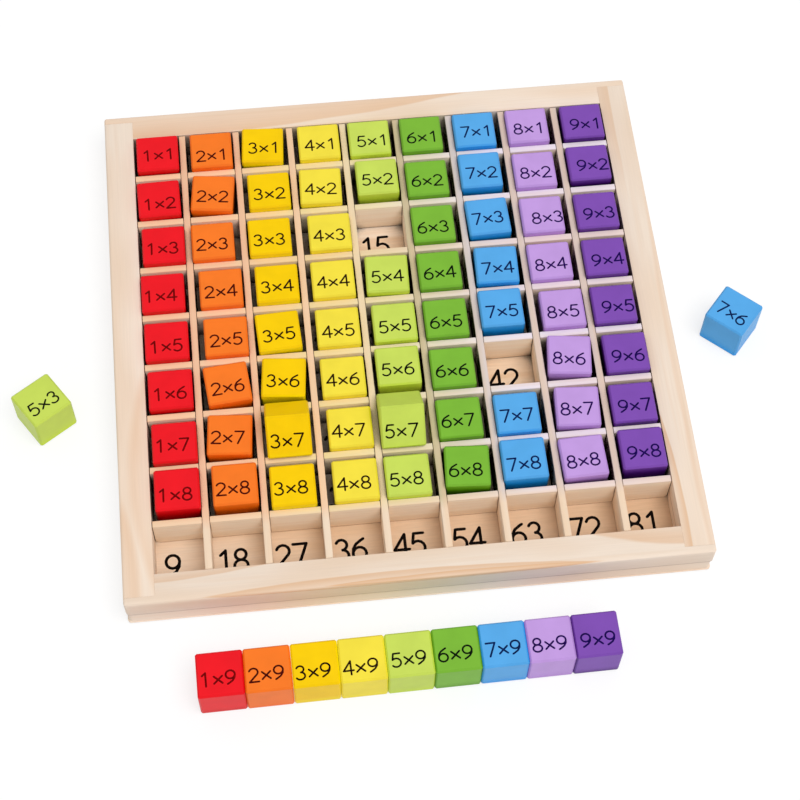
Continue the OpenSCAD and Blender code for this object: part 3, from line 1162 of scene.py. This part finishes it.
@dataclass
class PaintedCubes:
    """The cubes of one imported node, with the factors printed on them.

    Args:
        node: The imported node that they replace.
        column: The first factor, and the place of the paint in the order.
        master: The rounded cube.
        lettering: The print.
        jig: Where it lies on the faces.
    """

    node: str
    column: int
    master: Mesh
    lettering: Lettering
    jig: PrintingJig = PrintingJig()

    def build(self) -> list[Object]:
        """Model the cubes and their print, each as one piece.

        Returns:
            The cubes and the print.
        """
        paint = list(Paint)[self.column - 1]
        cubes, prints = [], []
        for place in self._places():
            cube = self.master.copy()
            cube.transform(place)
            cubes.append(cube)
            row = self._row(place)
            on_face = place @ self.jig.place(self.column, row)
            for mesh in self.lettering.text(f"{self.column}x{row}"):
                mesh.transform(on_face)
                prints.append(mesh)
        painted = join_meshes(f"painted_{self.node}", cubes, paint.coat().material())
        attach(painted, "root")
        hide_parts(self.node)
        factors = join_meshes(f"factors_{self.node}", prints, paint.ink().material())
        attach(factors, "root")
        return [painted, factors]

    def _places(self) -> list[Matrix]:
        """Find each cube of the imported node.

        Returns:
            The place of each cube, from the back row to the front: its middle, with +Z out of the printed face.
        """
        edit_whole(new_object("separated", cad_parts[self.node].data.copy()))
        bpy.ops.mesh.remove_doubles(threshold=TOUCHING)
        bpy.ops.mesh.separate(type="LOOSE")
        bpy.ops.object.mode_set(mode="OBJECT")
        parts = list(bpy.context.selected_objects)
        places = [self._place(part.data) for part in parts]
        for part in parts:
            bpy.data.objects.remove(part)
        return sorted(places, key=lambda place: -place.translation.y)

    @staticmethod
    def _place(mesh: Mesh) -> Matrix:
        """Find the place of one cube, from its corners and its large faces.

        Args:
            mesh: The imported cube.

        Returns:
            Its middle, with +Z out of the printed face and +X to the right.
        """
        middle = sum((vertex.co for vertex in mesh.vertices), Vector()) / len(mesh.vertices)
        largest = max(face.area for face in mesh.polygons)
        normals = [face.normal.copy() for face in mesh.polygons if face.area > largest / 2]
        # The printed face looks up, and on a pitched cube to the front as well. A face square to it looks right.
        up = max(normals, key=lambda n: n.z - 0.2 * n.y)
        right = max((n for n in normals if abs(n.dot(up)) < 0.1), key=lambda n: n.x)
        place = Matrix((right, up.cross(right), up)).transposed().to_4x4()
        place.translation = middle
        return place

    def _row(self, place: Matrix) -> int:
        """Tell the second factor from the row that the cube stands in, or from its node's name.

        Args:
            place: The place of the cube.

        Returns:
            The second factor.
        """
        if self.node.startswith("row_cube"):
            return CELLS
        if not self.node.startswith("tray_cubes"):
            return int(self.node.rsplit("x", 1)[1])
        return round(MIDDLE_CELL - place.translation.y / (PITCH * MM))


WHITE = (1.0, 1.0, 1.0, 1.0)
TABLE_WHITE = (0.84, 0.84, 0.84, 1.0)


@dataclass
class Studio:
    """A pale floor, soft light from above and a camera at the photograph's angle.

    Args:
        azimuth: Degrees that the camera stands to the right of straight in front.
        elevation: Degrees above the horizon.
        roll: Degrees that the picture is turned.
        distance: From the camera to the point that it looks at, in mm.
        looks_at: That point, in mm.
        focal: Focal length, in mm.
        sensor: Width of the picture in the camera, in mm.
        floor: Width of the floor, in metres.
        floor_drop: How far it lies below the board, so that no faces meet, in mm.
        shadow_reach: Distances from the middle between which its shadows fade out, in metres.
        lamp_place: Where the lamp hangs, in metres.
        lamp_width: Its width, in metres.
        lamp_power: Its power, in watts.
        room_light: Strength of the room's own light.
    """

    azimuth: float = -7.565
    elevation: float = 61.879
    roll: float = 1.740
    distance: float = 698.5
    looks_at: tuple[float, float, float] = (0.34, -25.61, 2.26)
    focal: float = 84.55
    sensor: float = 36.0
    floor: float = 6.0
    floor_drop: float = 0.05
    shadow_reach: tuple[float, float] = (0.3, 0.9)
    lamp_place: tuple[float, float, float] = (1.14, -1.36, 4.2)
    lamp_width: float = 3.2
    lamp_power: float = 112.0
    room_light: float = 0.52

    def build(self) -> None:
        """Set up the floor, the lamp, the world and the camera."""
        self._floor()
        self._lamp()
        self._world()
        self._camera()
        bpy.context.scene.view_settings.view_transform = "Standard"

    @staticmethod
    def _seen_directly(nodes: Nodes) -> Node:
        """Tell the rays that make a picture from the light itself.

        Args:
            nodes: The nodes of the floor or the world.

        Returns:
            1 for a ray from the camera, or one that gloss or glass passes on, and 0 for any other.
        """
        path = nodes.add("LightPath").outputs
        seen = path["Is Camera Ray"]
        for kind in ("Is Glossy Ray", "Is Transmission Ray"):
            seen = nodes.add("Math", {0: seen, 1: path[kind]}, operation="MAXIMUM")
        return seen

    def _floor(self) -> None:
        """Lay a matt white table top that stays white where nothing shades it."""
        deselect_all()
        bpy.ops.mesh.primitive_plane_add(size=self.floor, location=(0, 0, -self.floor_drop * MM))
        floor = bpy.context.object
        floor.name = "floor"
        made = bpy.data.materials.new("white_table")
        on = Surface(made)
        matt = on.add("BsdfDiffuse", {"Color": TABLE_WHITE})
        shaded = on.add("BsdfDiffuse", {"Color": WHITE})
        glow = on.add("Emission", {"Color": WHITE, "Strength": 1.04})
        away = on.add("VectorMath", {0: on.place}, operation="LENGTH")
        near, far = self.shadow_reach
        share = on.add("MapRange", {"Value": away, "From Min": near, "From Max": far, "To Min": 0.7})
        bright = on.add("MixShader", {0: share, 1: shaded, 2: glow})
        surface = on.add("MixShader", {0: self._seen_directly(on), 1: matt, 2: bright})
        on.add("OutputMaterial", {"Surface": surface})
        floor.data.materials.append(made)

    def _lamp(self) -> None:
        """Hang one wide soft lamp above the board, a little to the right and in front."""
        bpy.ops.object.light_add(type="AREA", location=self.lamp_place)
        lamp = bpy.context.object
        lamp.name = "overhead"
        lamp.data.shape = "DISK"
        lamp.data.size = self.lamp_width
        lamp.data.energy = self.lamp_power
        lamp.rotation_euler = (-lamp.location).to_track_quat("-Z", "Y").to_euler()

    def _world(self) -> None:
        """Make an even pale room, which the camera sees as white."""
        world = bpy.data.worlds.new("room")
        bpy.context.scene.world = world
        nodes = Nodes(world)
        light = nodes.add("Background", {"Color": WHITE, "Strength": self.room_light})
        white = nodes.add("Background", {"Color": WHITE, "Strength": 1.0})
        surface = nodes.add("MixShader", {0: self._seen_directly(nodes), 1: light, 2: white})
        nodes.add("OutputWorld", {"Surface": surface})

    def _camera(self) -> None:
        """Place the camera, from its angles and distance."""
        across, up = math.radians(self.azimuth), math.radians(self.elevation)
        back = Vector((math.sin(across) * math.cos(up), -math.cos(across) * math.cos(up), math.sin(up)))
        level = Vector((math.cos(across), math.sin(across), 0))
        right = Matrix.Rotation(math.radians(self.roll), 3, back) @ level
        data = bpy.data.cameras.new("camera")
        data.lens = self.focal
        data.sensor_width = self.sensor
        data.clip_start = 0.01
        camera = new_object("camera", data)
        place = Matrix((right, back.cross(right), back)).transposed().to_4x4()
        place.translation = Vector(self.looks_at) * MM + back * self.distance * MM
        camera.matrix_world = place
        bpy.context.scene.camera = camera


def cube_nodes() -> list[tuple[str, int]]:
    """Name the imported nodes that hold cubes.

    Returns:
        Each node's name, with the cubes' first factor.
    """
    named = [(f"{row}_{i}", i) for row in ("tray_cubes", "row_cube") for i in range(1, CELLS + 1)]
    return named + [("left_cube_5x3", 5), ("right_cube_7x6", 7)]


def main() -> None:
    """Build the board, then the studio round it."""
    logging.basicConfig(level=logging.INFO, format="%(name)s: %(message)s")
    for piece in (*Tray().build(), Products().build()):
        LOG.info("tray %s: %d faces", piece.name, len(piece.data.polygons))
    master = CubeMaker().build()
    factors = Lettering(height=4.82, stroke=0.66, widen=1.2, cross_advance=0.87)
    for node, column in cube_nodes():
        for piece in PaintedCubes(node, column, master, factors).build():
            LOG.info("cubes %s: %d faces", piece.name, len(piece.data.polygons))
    Studio().build()


if __name__ == "__main__":
    main()
